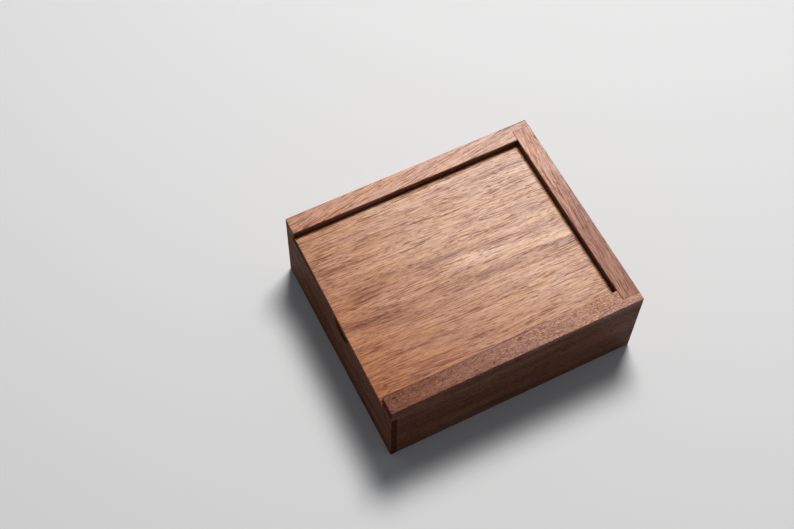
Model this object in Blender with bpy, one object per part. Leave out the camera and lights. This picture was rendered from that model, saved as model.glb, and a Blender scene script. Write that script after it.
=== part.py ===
"""Small walnut box whose lid slides in grooves over a low end wall.

Four boards make the case. The two long boards are rabbeted for the right end wall, and the low
left end wall is rabbeted to lap over the long boards, so that the long boards' tops run on above
it as rails. The lid's bevelled edges ride in matching grooves. The bottom is captured in grooves.

Metres, +Z up. The origin is the middle of the part's footprint on the table. X runs along the
long boards, and the lid leaves towards -X. The front board is on the -Y side.
"""
import math

import bmesh
import bpy
from mathutils import Matrix, Vector

# Case
BOX_LENGTH = 0.184
BOX_WIDTH = 0.1585
BOX_HEIGHT = 0.0666
BOARD_THICKNESS = 0.0130
EDGE_EASING = 0.0005
EASING_STEPS = 2

# Corner joints
RIGHT_LIP_THICKNESS = 0.0055
LEFT_LIP_THICKNESS = 0.0042
GLUE_GAP = 0.0003

# Lid
LID_THICKNESS = 0.0050
LID_SINK = 0.0055
LID_TONGUE = 0.0030
LID_BEVEL_WIDTH = 0.0055
LID_BEVEL_DROP = 0.0027
LID_PLAY = 0.0003
LID_EASING = 0.0003
LID_FRONT_OVERHANG = 0.0012
LID_BACK_OVERHANG = -0.0007

# Finger notch in the low wall, a little nearer the front than the middle
NOTCH_WIDTH = 0.0210
NOTCH_DEPTH = 0.0110
NOTCH_CENTRE_Y = -0.0062
NOTCH_EASING = 0.0008
NOTCH_STEPS = 72

# Bottom
BOTTOM_THICKNESS = 0.0050
BOTTOM_RISE = 0.0040
BOTTOM_TONGUE = 0.0040
BOTTOM_PLAY = 0.0003

# Every cutter runs this far past the wood that it cuts
OVERRUN = 0.0030

# Points nearer than this are one point, and lines nearer in direction are parallel
SAME_POINT = GLUE_GAP / 100
SAME_DIRECTION = math.radians(1.0)

# Planes of the case, from the sizes above
OVERHANG = max(LID_FRONT_OVERHANG, LID_BACK_OVERHANG, 0.0)
LEFT_X = (OVERHANG - BOX_LENGTH) / 2
RIGHT_X = LEFT_X + BOX_LENGTH
FRONT_Y = -BOX_WIDTH / 2
BACK_Y = BOX_WIDTH / 2
LEFT_INNER_X = LEFT_X + BOARD_THICKNESS
RIGHT_INNER_X = RIGHT_X - BOARD_THICKNESS
FRONT_INNER_Y = FRONT_Y + BOARD_THICKNESS
BACK_INNER_Y = BACK_Y - BOARD_THICKNESS

# Levels, from the sizes above
LID_TOP_Z = BOX_HEIGHT - LID_SINK
LID_UNDERSIDE_Z = LID_TOP_Z - LID_THICKNESS
LID_SHOULDER_Z = LID_TOP_Z - LID_BEVEL_DROP
LOW_WALL_TOP_Z = LID_UNDERSIDE_Z - LID_PLAY
BOTTOM_TOP_Z = BOTTOM_RISE + BOTTOM_THICKNESS

# Colours of the wood, linear RGB
RAIL_COLOUR = (0.36, 0.19, 0.11, 1.0)
END_WALL_COLOUR = (0.30, 0.15, 0.09, 1.0)
LID_COLOUR = (0.42, 0.24, 0.13, 1.0)
BOTTOM_COLOUR = (0.25, 0.13, 0.08, 1.0)
WOOD_ROUGHNESS = 0.55


def clear_scene():
    """Remove every object that the new scene starts with."""
    for old_object in list(bpy.data.objects):
        bpy.data.objects.remove(old_object, do_unlink=True)


def make_wood(name, colour):
    """Make a plain wood material of one colour."""
    wood = bpy.data.materials.new(name)
    wood.use_nodes = True
    shader = wood.node_tree.nodes["Principled BSDF"]
    shader.inputs["Base Color"].default_value = colour
    shader.inputs["Roughness"].default_value = WOOD_ROUGHNESS
    shader.inputs["Metallic"].default_value = 0.0
    wood.diffuse_color = colour
    return wood


def add_object(name, shape, origin=Vector((0.0, 0.0, 0.0))):
    """Turn a bmesh drawn in the part's frame into an object whose own origin is at the given place."""
    bmesh.ops.translate(shape, verts=shape.verts, vec=-origin)
    bmesh.ops.recalc_face_normals(shape, faces=shape.faces)
    mesh = bpy.data.meshes.new(name)
    shape.to_mesh(mesh)
    shape.free()
    new_object = bpy.data.objects.new(name, mesh)
    new_object.location = origin
    bpy.context.scene.collection.objects.link(new_object)
    return new_object


def draw_block(low, high):
    """Draw a square block between two opposite corners."""
    shape = bmesh.new()
    size = Vector(high) - Vector(low)
    centre = (Vector(high) + Vector(low)) / 2
    placed = Matrix.Translation(centre) @ Matrix.Diagonal((*size, 1.0))
    bmesh.ops.create_cube(shape, size=1.0, matrix=placed)
    return shape


def draw_prism(outline, direction):
    """Draw a prism from a closed outline of 3-D points and the vector to its other end."""
    shape = bmesh.new()
    face = shape.faces.new([shape.verts.new(point) for point in outline])
    far_end = bmesh.ops.extrude_face_region(shape, geom=[face])["geom"]
    far_verts = [item for item in far_end if isinstance(item, bmesh.types.BMVert)]
    bmesh.ops.translate(shape, verts=far_verts, vec=direction)
    return shape


def ease_edges(shape, width, only_along=None):
    """Round over the edges of a block, all of them or only those that run along one axis."""
    edges = list(shape.edges)
    if only_along is not None:
        edges = [edge for edge in edges if runs_along(edge, only_along)]
    bmesh.ops.bevel(
        shape,
        geom=edges,
        offset=width,
        segments=EASING_STEPS,
        profile=0.5,
        affect="EDGES",
        material=-1,
    )


def runs_along(edge, axis):
    """Tell whether an edge is parallel to an axis, 0 for X, 1 for Y and 2 for Z."""
    along = (edge.verts[1].co - edge.verts[0].co).normalized()
    return abs(along[axis]) > math.cos(SAME_DIRECTION)


def cut_away(wood, name, shape):
    """Cut a shape out of a piece of wood, leaving the cutter as a hidden guide."""
    cutter = add_object(name, shape)
    cutter.hide_render = True
    cutter.display_type = "WIRE"
    cutter.hide_set(True)
    step = wood.modifiers.new(name, "BOOLEAN")
    step.operation = "DIFFERENCE"
    step.solver = "EXACT"
    step.object = cutter


def lid_groove_section(inner):
    """Give the lid groove's section as (place, level) pairs for a board at the low end of an axis.

    The place counts along the axis from the board's inner face, negative into the board. The
    groove follows the lid's bevelled edge all round, LID_PLAY away from it.
    """
    slope = LID_BEVEL_DROP / LID_BEVEL_WIDTH
    bed = -(LID_TONGUE + LID_PLAY)
    lid_edge = -LID_TONGUE
    ceiling_at_bed = LID_SHOULDER_Z + LID_PLAY + slope * (bed - lid_edge)
    ceiling_past_face = LID_SHOULDER_Z + LID_PLAY + slope * (OVERRUN - lid_edge)
    return [
        (inner + bed, LOW_WALL_TOP_Z),
        (inner + OVERRUN, LOW_WALL_TOP_Z),
        (inner + OVERRUN, ceiling_past_face),
        (inner + bed, ceiling_at_bed),
    ]


def bottom_groove_section(inner):
    """Give the bottom groove's section as (place, level) pairs, counted as for the lid groove."""
    bed = -(BOTTOM_TONGUE + BOTTOM_PLAY)
    low = BOTTOM_RISE - BOTTOM_PLAY
    high = BOTTOM_TOP_Z + BOTTOM_PLAY
    return [
        (inner + bed, low),
        (inner + OVERRUN, low),
        (inner + OVERRUN, high),
        (inner + bed, high),
    ]


def plough_long_board(wood, side):
    """Plough both grooves along a long board's inner face. Side is -1 at the front, 1 at the back."""
    start = LEFT_X - OVERRUN
    run = Vector((BOX_LENGTH + 2 * OVERRUN, 0.0, 0.0))
    for label, section in groove_sections(FRONT_INNER_Y):
        outline = [(start, -side * place, level) for place, level in section]
        cut_away(wood, wood.name + label, draw_prism(outline, run))


def plough_end_board(wood, section_list, side):
    """Plough grooves along an end board's inner face. Side is -1 at the left, 1 at the right."""
    start = FRONT_Y - OVERRUN
    run = Vector((0.0, BOX_WIDTH + 2 * OVERRUN, 0.0))
    centre = (LEFT_X + RIGHT_X) / 2
    for label, section in section_list:
        outline = [(centre - side * (place - centre), start, level) for place, level in section]
        cut_away(wood, wood.name + label, draw_prism(outline, run))


def groove_sections(inner):
    """List the two grooves of a full-height board with the labels of their cutters."""
    return [
        ("_lid_groove_cut", lid_groove_section(inner)),
        ("_bottom_groove_cut", bottom_groove_section(inner)),
    ]


def make_long_board(name, side, wood_material):
    """Make the front board (side -1) or the back board (side 1).

    A rabbet at the right end leaves a lip over the end wall's end grain, and a notch at the left
    end takes the low wall's lip and leaves the rail above it.
    """
    outer_y = side * BOX_WIDTH / 2
    inner_y = side * (BOX_WIDTH / 2 - BOARD_THICKNESS)
    low_y, high_y = sorted((outer_y, inner_y))
    shape = draw_block((LEFT_X, low_y, 0.0), (RIGHT_X, high_y, BOX_HEIGHT))
    ease_edges(shape, EDGE_EASING)
    board = add_object(name, shape)
    plough_long_board(board, side)

    lip_y = side * (BOX_WIDTH / 2 - RIGHT_LIP_THICKNESS)
    past_y = inner_y - side * OVERRUN
    rabbet_low_y, rabbet_high_y = sorted((lip_y, past_y))
    rabbet = draw_block(
        (RIGHT_INNER_X - GLUE_GAP, rabbet_low_y, -OVERRUN),
        (RIGHT_X + OVERRUN, rabbet_high_y, BOX_HEIGHT + OVERRUN),
    )
    cut_away(board, name + "_rabbet_cut", rabbet)

    notch = draw_block(
        (LEFT_X - OVERRUN, low_y - OVERRUN, -OVERRUN),
        (LEFT_X + LEFT_LIP_THICKNESS + GLUE_GAP, high_y + OVERRUN, LOW_WALL_TOP_Z + GLUE_GAP),
    )
    cut_away(board, name + "_end_notch_cut", notch)
    board.data.materials.append(wood_material)
    return board


def make_right_wall(wood_material):
    """Make the full-height end wall that sits in the long boards' rabbets."""
    reach = BOX_WIDTH / 2 - RIGHT_LIP_THICKNESS - GLUE_GAP
    shape = draw_block((RIGHT_INNER_X, -reach, 0.0), (RIGHT_X, reach, BOX_HEIGHT))
    ease_edges(shape, EDGE_EASING, only_along=1)
    wall = add_object("right_wall", shape)
    plough_end_board(wall, groove_sections(LEFT_INNER_X), 1)
    wall.data.materials.append(wood_material)
    return wall


def draw_notch_cutter():
    """Turn a spool that cuts the finger notch and eases both of its rims.

    The notch is the arc of a circle, fixed by its width at the wall's top and by its depth.
    """
    radius = (NOTCH_WIDTH ** 2 / 4 + NOTCH_DEPTH ** 2) / (2 * NOTCH_DEPTH)
    flare = NOTCH_EASING + OVERRUN
    profile = [
        (LEFT_X - OVERRUN, 0.0),
        (LEFT_X - OVERRUN, radius + flare),
        (LEFT_X + NOTCH_EASING, radius),
        (LEFT_INNER_X - NOTCH_EASING, radius),
        (LEFT_INNER_X + OVERRUN, radius + flare),
        (LEFT_INNER_X + OVERRUN, 0.0),
    ]
    centre_z = LOW_WALL_TOP_Z - NOTCH_DEPTH + radius
    shape = bmesh.new()
    verts = [shape.verts.new((x, NOTCH_CENTRE_Y, centre_z + r)) for x, r in profile]
    edges = [shape.edges.new(pair) for pair in zip(verts, verts[1:])]
    bmesh.ops.spin(
        shape,
        geom=verts + edges,
        cent=(0.0, NOTCH_CENTRE_Y, centre_z),
        axis=(1.0, 0.0, 0.0),
        angle=math.tau,
        steps=NOTCH_STEPS,
        use_merge=True,
    )
    bmesh.ops.remove_doubles(shape, verts=shape.verts, dist=SAME_POINT)
    return shape


def make_left_wall(wood_material):
    """Make the low end wall: rabbeted ends that lap the long boards, a groove and the notch."""
    shape = draw_block((LEFT_X, FRONT_Y, 0.0), (LEFT_INNER_X, BACK_Y, LOW_WALL_TOP_Z))
    ease_edges(shape, EDGE_EASING)
    wall = add_object("left_wall", shape)
    bottom_groove = [("_bottom_groove_cut", bottom_groove_section(LEFT_INNER_X))]
    plough_end_board(wall, bottom_groove, -1)
    for label, outer_y in (("_front", FRONT_Y), ("_back", BACK_Y)):
        side = math.copysign(1.0, outer_y)
        shoulder_y = outer_y - side * (BOARD_THICKNESS + GLUE_GAP)
        low_y, high_y = sorted((outer_y + side * OVERRUN, shoulder_y))
        rabbet = draw_block(
            (LEFT_X + LEFT_LIP_THICKNESS, low_y, -OVERRUN),
            (LEFT_INNER_X + OVERRUN, high_y, LOW_WALL_TOP_Z + OVERRUN),
        )
        cut_away(wall, wall.name + label + "_rabbet_cut", rabbet)
    cut_away(wall, wall.name + "_finger_notch_cut", draw_notch_cutter())
    wall.data.materials.append(wood_material)
    return wall


def make_bottom_panel(wood_material):
    """Make the bottom, whose edges lie in the grooves of all four boards."""
    reach = BOTTOM_TONGUE
    low = (LEFT_INNER_X - reach, FRONT_INNER_Y - reach, BOTTOM_RISE)
    high = (RIGHT_INNER_X + reach, BACK_INNER_Y + reach, BOTTOM_TOP_Z)
    panel = add_object("bottom_panel", draw_block(low, high))
    panel.data.materials.append(wood_material)
    return panel


def make_lid(wood_material):
    """Make the lid: a flat board, bevelled on the three edges that ride in grooves.

    Its free left end is cut a little out of square, so it overhangs more at the front.
    """
    front_y = FRONT_INNER_Y - LID_TONGUE
    back_y = BACK_INNER_Y + LID_TONGUE
    right_x = RIGHT_INNER_X + LID_TONGUE

    def free_end_x(y):
        share = (y - front_y) / (back_y - front_y)
        return LEFT_X - LID_FRONT_OVERHANG - share * (LID_BACK_OVERHANG - LID_FRONT_OVERHANG)

    def ring(inset, level):
        near_y = front_y + inset
        far_y = back_y - inset
        return [
            (free_end_x(near_y), near_y, level),
            (right_x - inset, near_y, level),
            (right_x - inset, far_y, level),
            (free_end_x(far_y), far_y, level),
        ]

    rings = [ring(0.0, LID_UNDERSIDE_Z), ring(0.0, LID_SHOULDER_Z), ring(LID_BEVEL_WIDTH, LID_TOP_Z)]
    shape = bmesh.new()
    loops = [[shape.verts.new(point) for point in level_ring] for level_ring in rings]
    shape.faces.new(loops[0])
    shape.faces.new(loops[-1])
    for lower, upper in zip(loops, loops[1:]):
        for here, there in ((0, 1), (1, 2), (2, 3), (3, 0)):
            shape.faces.new((lower[here], lower[there], upper[there], upper[here]))
    ease_edges(shape, LID_EASING)
    lid = add_object("lid", shape, origin=Vector((0.0, 0.0, LID_UNDERSIDE_Z)))
    lid.data.materials.append(wood_material)
    return lid


def main():
    """Build the whole box."""
    clear_scene()
    make_long_board("front_wall", -1, make_wood("front_wall_walnut", RAIL_COLOUR))
    make_long_board("back_wall", 1, make_wood("back_wall_walnut", RAIL_COLOUR))
    make_right_wall(make_wood("right_wall_walnut", END_WALL_COLOUR))
    make_left_wall(make_wood("left_wall_walnut", END_WALL_COLOUR))
    make_bottom_panel(make_wood("bottom_panel_walnut", BOTTOM_COLOUR))
    make_lid(make_wood("lid_walnut", LID_COLOUR))


main()
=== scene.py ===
import logging
import math
from dataclasses import dataclass, field
from enum import Enum
from typing import Callable

import bmesh
import bpy
from mathutils import Matrix, Vector


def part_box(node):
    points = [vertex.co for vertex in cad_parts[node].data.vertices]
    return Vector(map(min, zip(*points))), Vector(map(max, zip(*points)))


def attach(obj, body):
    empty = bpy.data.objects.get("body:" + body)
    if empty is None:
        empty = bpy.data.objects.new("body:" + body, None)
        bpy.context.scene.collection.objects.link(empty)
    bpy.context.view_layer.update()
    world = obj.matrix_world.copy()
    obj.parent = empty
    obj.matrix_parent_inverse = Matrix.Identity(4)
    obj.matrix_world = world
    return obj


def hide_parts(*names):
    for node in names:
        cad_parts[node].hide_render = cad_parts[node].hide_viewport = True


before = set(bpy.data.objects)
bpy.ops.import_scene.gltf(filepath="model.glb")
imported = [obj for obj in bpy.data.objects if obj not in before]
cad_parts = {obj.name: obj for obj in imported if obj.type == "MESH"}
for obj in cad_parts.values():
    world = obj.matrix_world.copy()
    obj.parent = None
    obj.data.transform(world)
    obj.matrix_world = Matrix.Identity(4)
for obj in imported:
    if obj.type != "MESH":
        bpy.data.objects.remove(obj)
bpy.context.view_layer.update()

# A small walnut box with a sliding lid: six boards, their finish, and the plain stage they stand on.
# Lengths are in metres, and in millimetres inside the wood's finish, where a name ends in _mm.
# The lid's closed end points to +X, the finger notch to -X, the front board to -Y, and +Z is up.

MM_PER_M = 1000.0
AXIS_X, AXIS_Y, AXIS_Z = 0, 1, 2

# How near two places or two ways are when they count as the same
SAME_PLACE = 1e-6
SAME_CORNER_DIGITS = 7
SAME_WAY = 0.9
FLAT_ANGLE = math.radians(0.5)
SHARP_ANGLE = math.radians(35.0)
NEAR_NOTCH = 1.01

# How many flats a rounded and a crisp arris have
ROUNDED_STEPS = 4
CRISP_STEPS = 2

# What the wood's colour is multiplied by in some places
COOL_TINT = (0.98, 0.97, 1.02)
WARM_TINT = (1.02, 1.01, 0.94)
PORE_TINT = (0.42, 0.34, 0.30)
END_GRAIN_TINT = (0.60, 0.56, 0.54)
# The next tint is painted shade: it darkens the walls round the lid, where shade falls in the recess
RECESS_SHADE_TINT = (0.16, 0.10, 0.08)
# The next tint lightens rounded edges: partly wear, partly a painted highlight where edges catch the
# light
WEAR_AND_HIGHLIGHT_TINT = (1.16, 1.14, 1.12)

# How dark the painted shade is on the wall round the lid at its rim; down at the lid it is full
RECESS_SHADE_AT_RIM = 0.75

# The sizes, along and across the grain in millimetres, of the patterns that every board shares
WANDER_CELL_MM = (85.0, 26.0)
RIPPLE_CELL_MM = (13.0, 5.5)
WARMTH_CELL_MM = (34.0, 9.0)
LINE_CROWD_CELL_MM = (40.0, 7.0)
PORE_CROWD_CELL_MM = (30.0, 4.0)
PORE_CELL_MM = (4.2, 0.26)

# The spans of a noise, a tone or a slant over which a pattern goes from one end of its range to the other
WARMTH_SPAN = (0.38, 0.62)
LINE_CROWD_SPAN = (0.36, 0.64)
DASH_SPAN = (0.40, 0.56)
PALE_SPAN = (0.55, 1.05)
PORE_SPAN = (0.60, 0.72)
END_GRAIN_SPAN = (0.5, 0.95)

# Which way a seed shifts a pattern in the noise, and how far apart the layers of one pattern start
SEED_WAY = (1.0, 0.37, 0.71)
GROUND_STEP = 3.1
LINE_STEP = 7.3
DASH_STEP = 3.7

# How much finer noise there is in a smooth, a streaked and a cloudy pattern
SMOOTH_DETAIL = 0.0
STREAK_DETAIL = 0.6
CLOUD_DETAIL = 1.0
NOISE_ROUGHNESS = 0.55

# The middle of every noise, and of the wood's range of tones
MIDDLE = 0.5

# The share of a line, and of a band along and across, that is at full strength
LINE_CORE = 0.2
BAND_CORE = (0.5, 0.3)

# How much of the lines is left in pale wood, how long and wide a line's dashes are, how uneven the pores
LINES_IN_PALE = 0.3
DASH_SHARE = (0.4, 0.7)
PORE_CROWDING = 0.35

# What pores, lines and end grain add to the roughness of the oiled surface
PORE_DULLING = 0.22
LINE_DULLING = 0.08
END_DULLING = 0.35
OIL_IOR = 1.47

# The relief: how far pale wood stands up, and how deep lines and pores go
PALE_RISE = 0.3
LINE_DEPTH = 0.4
PORE_DEPTH = 0.7
BUMP_STRENGTH = 0.3
BUMP_HEIGHT = 0.00006

Colour = tuple[float, float, float]
Place = tuple[float, float, float]
Point = tuple[float, float]
Corner = bmesh.types.BMVert
Edge = bmesh.types.BMEdge
Face = bmesh.types.BMFace
Socket = bpy.types.NodeSocket
Input = Socket | float | Place

log = logging.getLogger("walnut_box")


class Side(Enum):
    """The two long walls of the case; the value is the way inwards along Y."""

    FRONT = 1
    BACK = -1


class Grain(Enum):
    """The way a board's grain runs; the value is the turn about Z that lays it along X."""

    ALONG_LENGTH = 0.0
    ALONG_WIDTH = -math.pi / 2


class Arris(Enum):
    """What happens to a sharp edge of a board."""

    KEPT = "kept"
    ROUNDED = "rounded"
    CRISP = "crisp"


class Pattern(Enum):
    """The patterns in the wood; the value is where one starts in the noise, so that no two agree."""

    WANDER = 11.0
    RIPPLE = 17.0
    PORES = 21.0
    PORE_CROWD = 27.0
    WARMTH = 33.0
    LINE_CROWD = 41.0
    LINES = 51.0


# The sizes that the boards share


@dataclass(frozen=True)
class Plane:
    """A level or upright plane, with the way that a board's face on it looks.

    Attributes:
        axis: the axis that the plane is square to.
        place: where the plane crosses that axis.
        looks: 1 where the face looks along the axis, -1 where it looks back.
    """

    axis: int
    place: float
    looks: int

    def holds(self, face: Face) -> bool:
        """Tell whether a face lies on this plane and looks its way.

        Args:
            face: the face to test.

        Returns:
            True where every corner of the face is on the plane.
        """
        if face.normal[self.axis] * self.looks < SAME_WAY:
            return False
        return all(abs(corner.co[self.axis] - self.place) < SAME_PLACE for corner in face.verts)


@dataclass(frozen=True)
class LidSizes:
    """The sliding lid's own sizes, which the grooves of the case follow.

    Attributes:
        top: height of its upper face.
        thickness: from its upper face down to its underside.
        tongue: how far its rim reaches into a groove.
        bevel_width, bevel_drop: how wide its bevel is, and how far it falls.
        play: slack below the rim and beside it.
        play_above: slack above the bevel.
        front_overhang, back_overhang: how far its open end stands past the case, at its two corners.
    """

    top: float = 0.0611
    thickness: float = 0.0050
    tongue: float = 0.0030
    bevel_width: float = 0.0055
    bevel_drop: float = 0.0027
    play: float = 0.0003
    play_above: float = 0.0002
    front_overhang: float = 0.00119
    back_overhang: float = -0.0007

    @property
    def underside(self) -> float:
        """Height of the lid's flat underside."""
        return self.top - self.thickness

    @property
    def shoulder(self) -> float:
        """Height of the lid's bevelled rim at its outer edge."""
        return self.top - self.bevel_drop

    @property
    def bevel_slope(self) -> float:
        """Rise of the lid's bevel for each metre inwards."""
        return self.bevel_drop / self.bevel_width


@dataclass(frozen=True)
class CaseSizes:
    """The case's outside, read from the frame, and the sizes of its joints.

    Attributes:
        left, right, front, back, height: its outer planes.
        lid: the lid's sizes.
        board: thickness of the four walls.
        right_lip: what is left of a long board beside the right wall's end.
        left_lip: how far the left wall laps over a long board's end.
        seam: width of a glued seam.
        bottom_rise: height of the bottom groove.
        bottom_thickness: from there up to the groove's top.
        bottom_tongue, bottom_play: how far the bottom reaches into the groove, and its slack.
        rounding: size of an arris that hands have rounded.
        crisp: size of an arris that is only just eased.
    """

    left: float
    right: float
    front: float
    back: float
    height: float
    lid: LidSizes = field(default_factory=LidSizes)
    board: float = 0.0130
    right_lip: float = 0.0055
    left_lip: float = 0.0042
    seam: float = 0.0001
    bottom_rise: float = 0.0040
    bottom_thickness: float = 0.0050
    bottom_tongue: float = 0.0040
    bottom_play: float = 0.0003
    rounding: float = 0.0005
    crisp: float = 0.00013

    @classmethod
    def of_frame(cls) -> "CaseSizes":
        """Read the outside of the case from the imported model.

        Returns:
            The sizes, with the case's outer planes where the model has them.
        """
        front_low, front_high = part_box("front_wall")
        back_low, back_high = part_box("back_wall")
        return cls(
            left=front_low.x,
            right=front_high.x,
            front=front_low.y,
            back=back_high.y,
            height=front_high.z,
        )

    @property
    def left_inner(self) -> float:
        """Inner face of the left wall."""
        return self.left + self.board

    @property
    def right_inner(self) -> float:
        """Inner face of the right wall."""
        return self.right - self.board

    @property
    def groove_floor(self) -> float:
        """Height of the floor of the lid's groove."""
        return self.lid.underside - self.lid.play

    @property
    def groove_depth(self) -> float:
        """Depth of the lid's groove into a board."""
        return self.lid.tongue + self.lid.play

    @property
    def bottom_groove_depth(self) -> float:
        """Depth of the bottom panel's groove into a board."""
        return self.bottom_tongue + self.bottom_play

    @property
    def bottom_top(self) -> float:
        """Height of the bottom panel's upper face."""
        return self.bottom_rise + self.bottom_thickness

    def outer_face(self, side: Side) -> float:
        """Place along Y of a long board's outer face."""
        return self.front if side is Side.FRONT else self.back

    def inner_face(self, side: Side) -> float:
        """Place along Y of a long board's inner face."""
        return self.outer_face(side) + side.value * self.board

    def lid_groove(self) -> list[Point]:
        """Draw the groove that the lid's rim slides in, from its floor up to its mouth's top.

        Returns:
            Points as depth into the board from its outer face, and height.
        """
        lid = self.lid
        deep = self.board - self.groove_depth
        mouth = lid.shoulder + lid.tongue * lid.bevel_slope + lid.play_above
        roof = mouth - self.groove_depth * lid.bevel_slope
        return [(deep, self.groove_floor), (deep, roof), (self.board, mouth)]

    def inner_side(self) -> list[Point]:
        """Draw a wall's inner side with the bottom groove in it, from its foot up to the lid's groove.

        Returns:
            Points as depth into the board from its outer face, and height.
        """
        deep = self.board - self.bottom_groove_depth
        return [
            (self.board, 0.0),
            (self.board, self.bottom_rise),
            (deep, self.bottom_rise),
            (deep, self.bottom_top),
            (self.board, self.bottom_top),
            (self.board, self.groove_floor),
        ]


# Putting a shape into the scene


def add_object(name: str, data: bpy.types.ID) -> bpy.types.Object:
    """Put a new object into the scene.

    Args:
        name: the object's name.
        data: its mesh, light or camera.

    Returns:
        The new object.
    """
    made = bpy.data.objects.new(name, data)
    bpy.context.scene.collection.objects.link(made)
    return made


def add_mesh(name: str, shape: bmesh.types.BMesh) -> bpy.types.Object:
    """Put a finished shape into the scene.

    Args:
        name: the object's name.
        shape: its shape, which is used up.

    Returns:
        The new object.
    """
    data = bpy.data.meshes.new(name)
    shape.to_mesh(data)
    shape.free()
    return add_object(name, data)


# Cutting a board


class Blank:
    """A board being cut: a flat drawing of faces with shared corners, grown into a solid."""

    def __init__(self, place: Callable[[float, float], Vector]) -> None:
        """Start an empty drawing.

        Args:
            place: turns the two measures of a drawing into a point of the box.
        """
        self.mesh = bmesh.new()
        self.place = place
        self.corners: dict[Point, Corner] = {}
        # A layer for the lighter rounded edges, partly wear and partly painted highlight
        self.wear_and_highlight = self.mesh.verts.layers.float.new("wear_and_highlight")
        # A layer for the painted shade on the walls round the lid
        self.recess_shade = self.mesh.verts.layers.float.new("recess_shade")

    def corner(self, point: Point) -> Corner:
        """Find the drawing's corner at a point, made at its first use.

        Args:
            point: the point's two measures.

        Returns:
            The corner.
        """
        key = tuple(round(measure, SAME_CORNER_DIGITS) for measure in point)
        if key not in self.corners:
            self.corners[key] = self.mesh.verts.new(self.place(*point))
        return self.corners[key]

    def face(self, points: list[Point]) -> Face:
        """Draw one face of the section.

        Args:
            points: the face's corners in order.

        Returns:
            The new face.
        """
        return self.mesh.faces.new([self.corner(point) for point in points])

    def grow(self, faces: list[Face], step: Vector) -> list[Face]:
        """Extrude faces along a step, as one region.

        Args:
            faces: the faces to extrude.
            step: how far and which way they go.

        Returns:
            The faces at the new end.
        """
        made = bmesh.ops.extrude_face_region(self.mesh, geom=faces)["geom"]
        ends = [item for item in made if isinstance(item, Face)]
        corners = [item for item in made if isinstance(item, Corner)]
        bmesh.ops.translate(self.mesh, vec=step, verts=corners)
        return ends

    def close(self) -> None:
        """Join what is flat into single faces, and turn every face outwards."""
        bmesh.ops.dissolve_limit(
            self.mesh,
            angle_limit=FLAT_ANGLE,
            use_dissolve_boundaries=False,
            verts=self.mesh.verts,
            edges=self.mesh.edges,
        )
        bmesh.ops.recalc_face_normals(self.mesh, faces=self.mesh.faces)
        self.mesh.normal_update()

    def ease(self, radius: float, steps: int, wanted: Callable[[Edge], bool]) -> None:
        """Round over some edges, and mark the middle of each rounding to be lightened, partly as wear and
        partly as a painted highlight.

        Args:
            radius: width of the rounding on each face.
            steps: number of flats in the rounding.
            wanted: tells whether an edge is rounded.
        """
        edges = [edge for edge in self.mesh.edges if wanted(edge)]
        made = bmesh.ops.bevel(
            self.mesh,
            geom=edges,
            offset=radius,
            offset_type="OFFSET",
            affect="EDGES",
            segments=steps,
            profile=0.5,
            material=-1,
            clamp_overlap=True,
            loop_slide=True,
        )
        rounded = set(made["faces"])
        for face in rounded:
            face.smooth = True
        # Mark the rounding's middle for its wear and painted highlight
        for corner in made["verts"]:
            if all(face in rounded for face in corner.link_faces):
                corner[self.wear_and_highlight] = 1.0
        self.mesh.normal_update()

    def paint_recess_shade(self, amount: Callable[[Corner], float]) -> None:
        """Paint shade on the board: mark how strongly it darkens each of its corners.

        Args:
            amount: tells how much painted shade a corner gets, from 0 to 1.
        """
        for corner in self.mesh.verts:
            corner[self.recess_shade] = amount(corner)

    def finish(self, name: str) -> bpy.types.Object:
        """Turn the cut board into an object of the scene, with the given name."""
        return add_mesh(name, self.mesh)


def turns_outwards(edge: Edge) -> bool:
    """Tell whether an edge is a sharp outer corner of a board."""
    return len(edge.link_faces) == 2 and edge.calc_face_angle_signed(0.0) > SHARP_ANGLE


# The finish of the wood


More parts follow.
